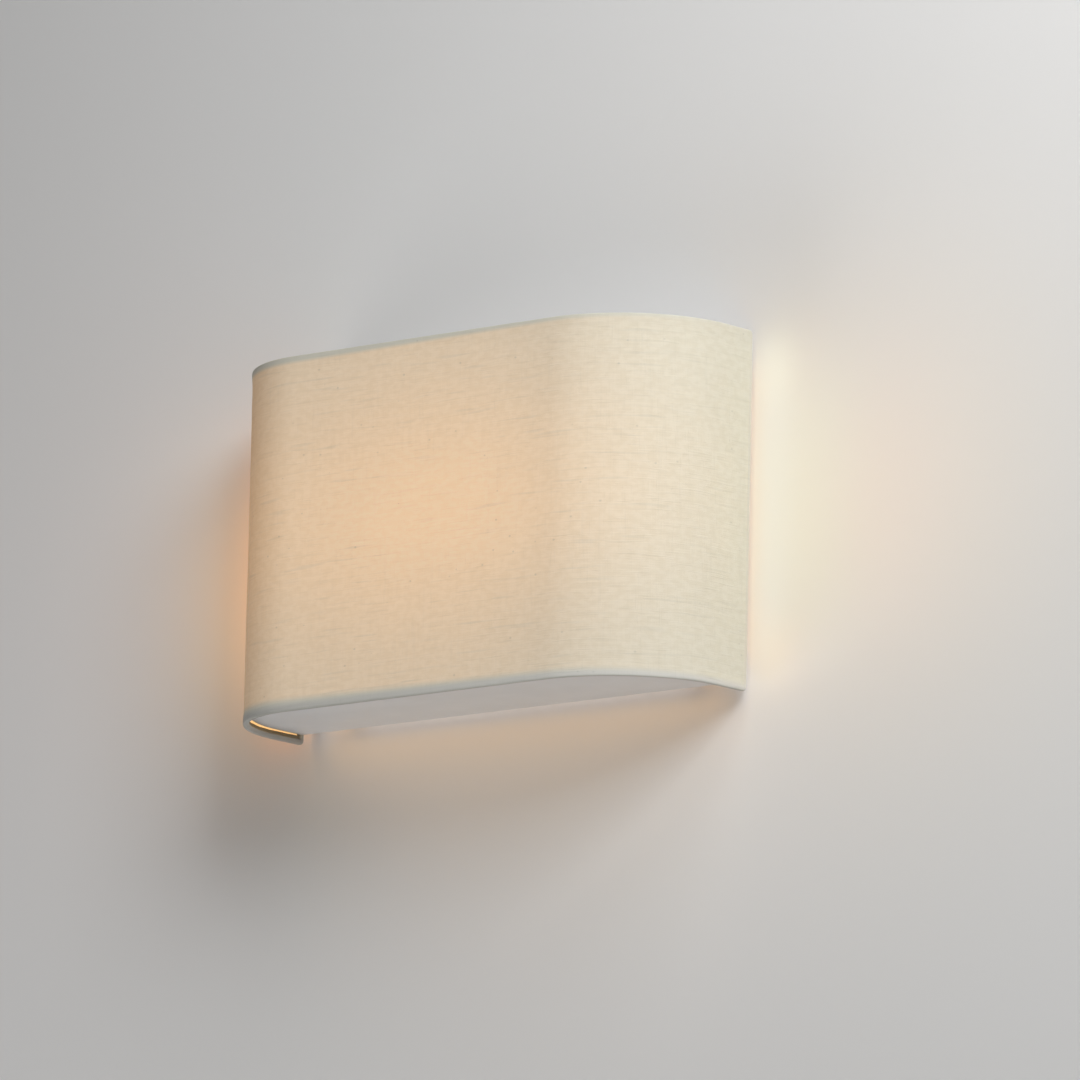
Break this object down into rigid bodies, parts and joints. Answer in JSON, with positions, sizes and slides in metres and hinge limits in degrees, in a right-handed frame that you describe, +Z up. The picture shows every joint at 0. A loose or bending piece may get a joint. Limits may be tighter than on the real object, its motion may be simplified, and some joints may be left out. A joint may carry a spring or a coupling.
{
  "type": "wall light",
  "caption": "Wall light with a half-oval linen drum shade that pulls off forwards from a folded white pan with closed top and bottom panels.",
  "frame": {"origin": "on the wall plane, at the middle of the mounting strap", "axes": "+X to the right along the wall, +Y into the wall, +Z up"},
  "size_m": [0.3182, 0.0957, 0.1974],
  "materials": {
    "linen": "oatmeal linen, slubbed",
    "liner_styrene": "matt translucent styrene",
    "frame_wire": "powder-coated steel wire",
    "white_enamel": "satin white powder coat",
    "galvanised": "galvanised",
    "zinc": "zinc-plated",
    "nickel": "nickel-plated",
    "spring_steel": "blued spring steel",
    "black_rubber": "matt",
    "block_plastic": "ivory moulding",
    "brass": "bright",
    "green_screw": "green-dyed zinc",
    "driver_plastic": "fine-grained moulding",
    "board_mask": "white solder mask",
    "led_phosphor": "phosphor under clear resin",
    "pad_grey": "soft silicone",
    "connector_white": "moulded",
    "insul_black": "insulation",
    "insul_white": "insulation",
    "insul_green": "insulation",
    "insul_red": "insulation"
  },
  "bodies": {
    "base": {"mounting_strap": "galvanised", "strap_studs": "zinc", "stud_washers": "zinc", "cap_nuts": "nickel", "back_pan": "white_enamel", "top_panel": "white_enamel", "bottom_panel": "white_enamel", "shade_clips": "spring_steel", "clip_rivets": "zinc", "supply_grommet": "black_rubber", "terminal_block": "block_plastic", "terminal_screws": "brass", "block_screws": "zinc", "ground_screw": "green_screw", "ground_ring": "zinc", "driver_case": "driver_plastic", "driver_screws": "zinc", "led_tray": "white_enamel", "tray_screws": "zinc", "tray_grommet": "black_rubber", "thermal_pad": "pad_grey", "led_board": "board_mask", "led_chips": "led_phosphor", "board_screws": "zinc", "board_connector": "connector_white", "wire_live": "insul_black", "wire_neutral": "insul_white", "wire_ground": "insul_green", "wire_led_plus": "insul_red", "wire_led_minus": "insul_black"},
    "shade": {"shade_fabric": "linen", "shade_liner": "liner_styrene", "top_ring": "frame_wire", "bottom_ring": "frame_wire", "left_end_rod": "frame_wire", "right_end_rod": "frame_wire"}
  },
  "joints": [
    {"name": "shade_pull_off", "type": "slide", "parent": "base", "child": "shade", "axis": [0, -1, 0], "range_m": [0, 0.11]}
  ]
}
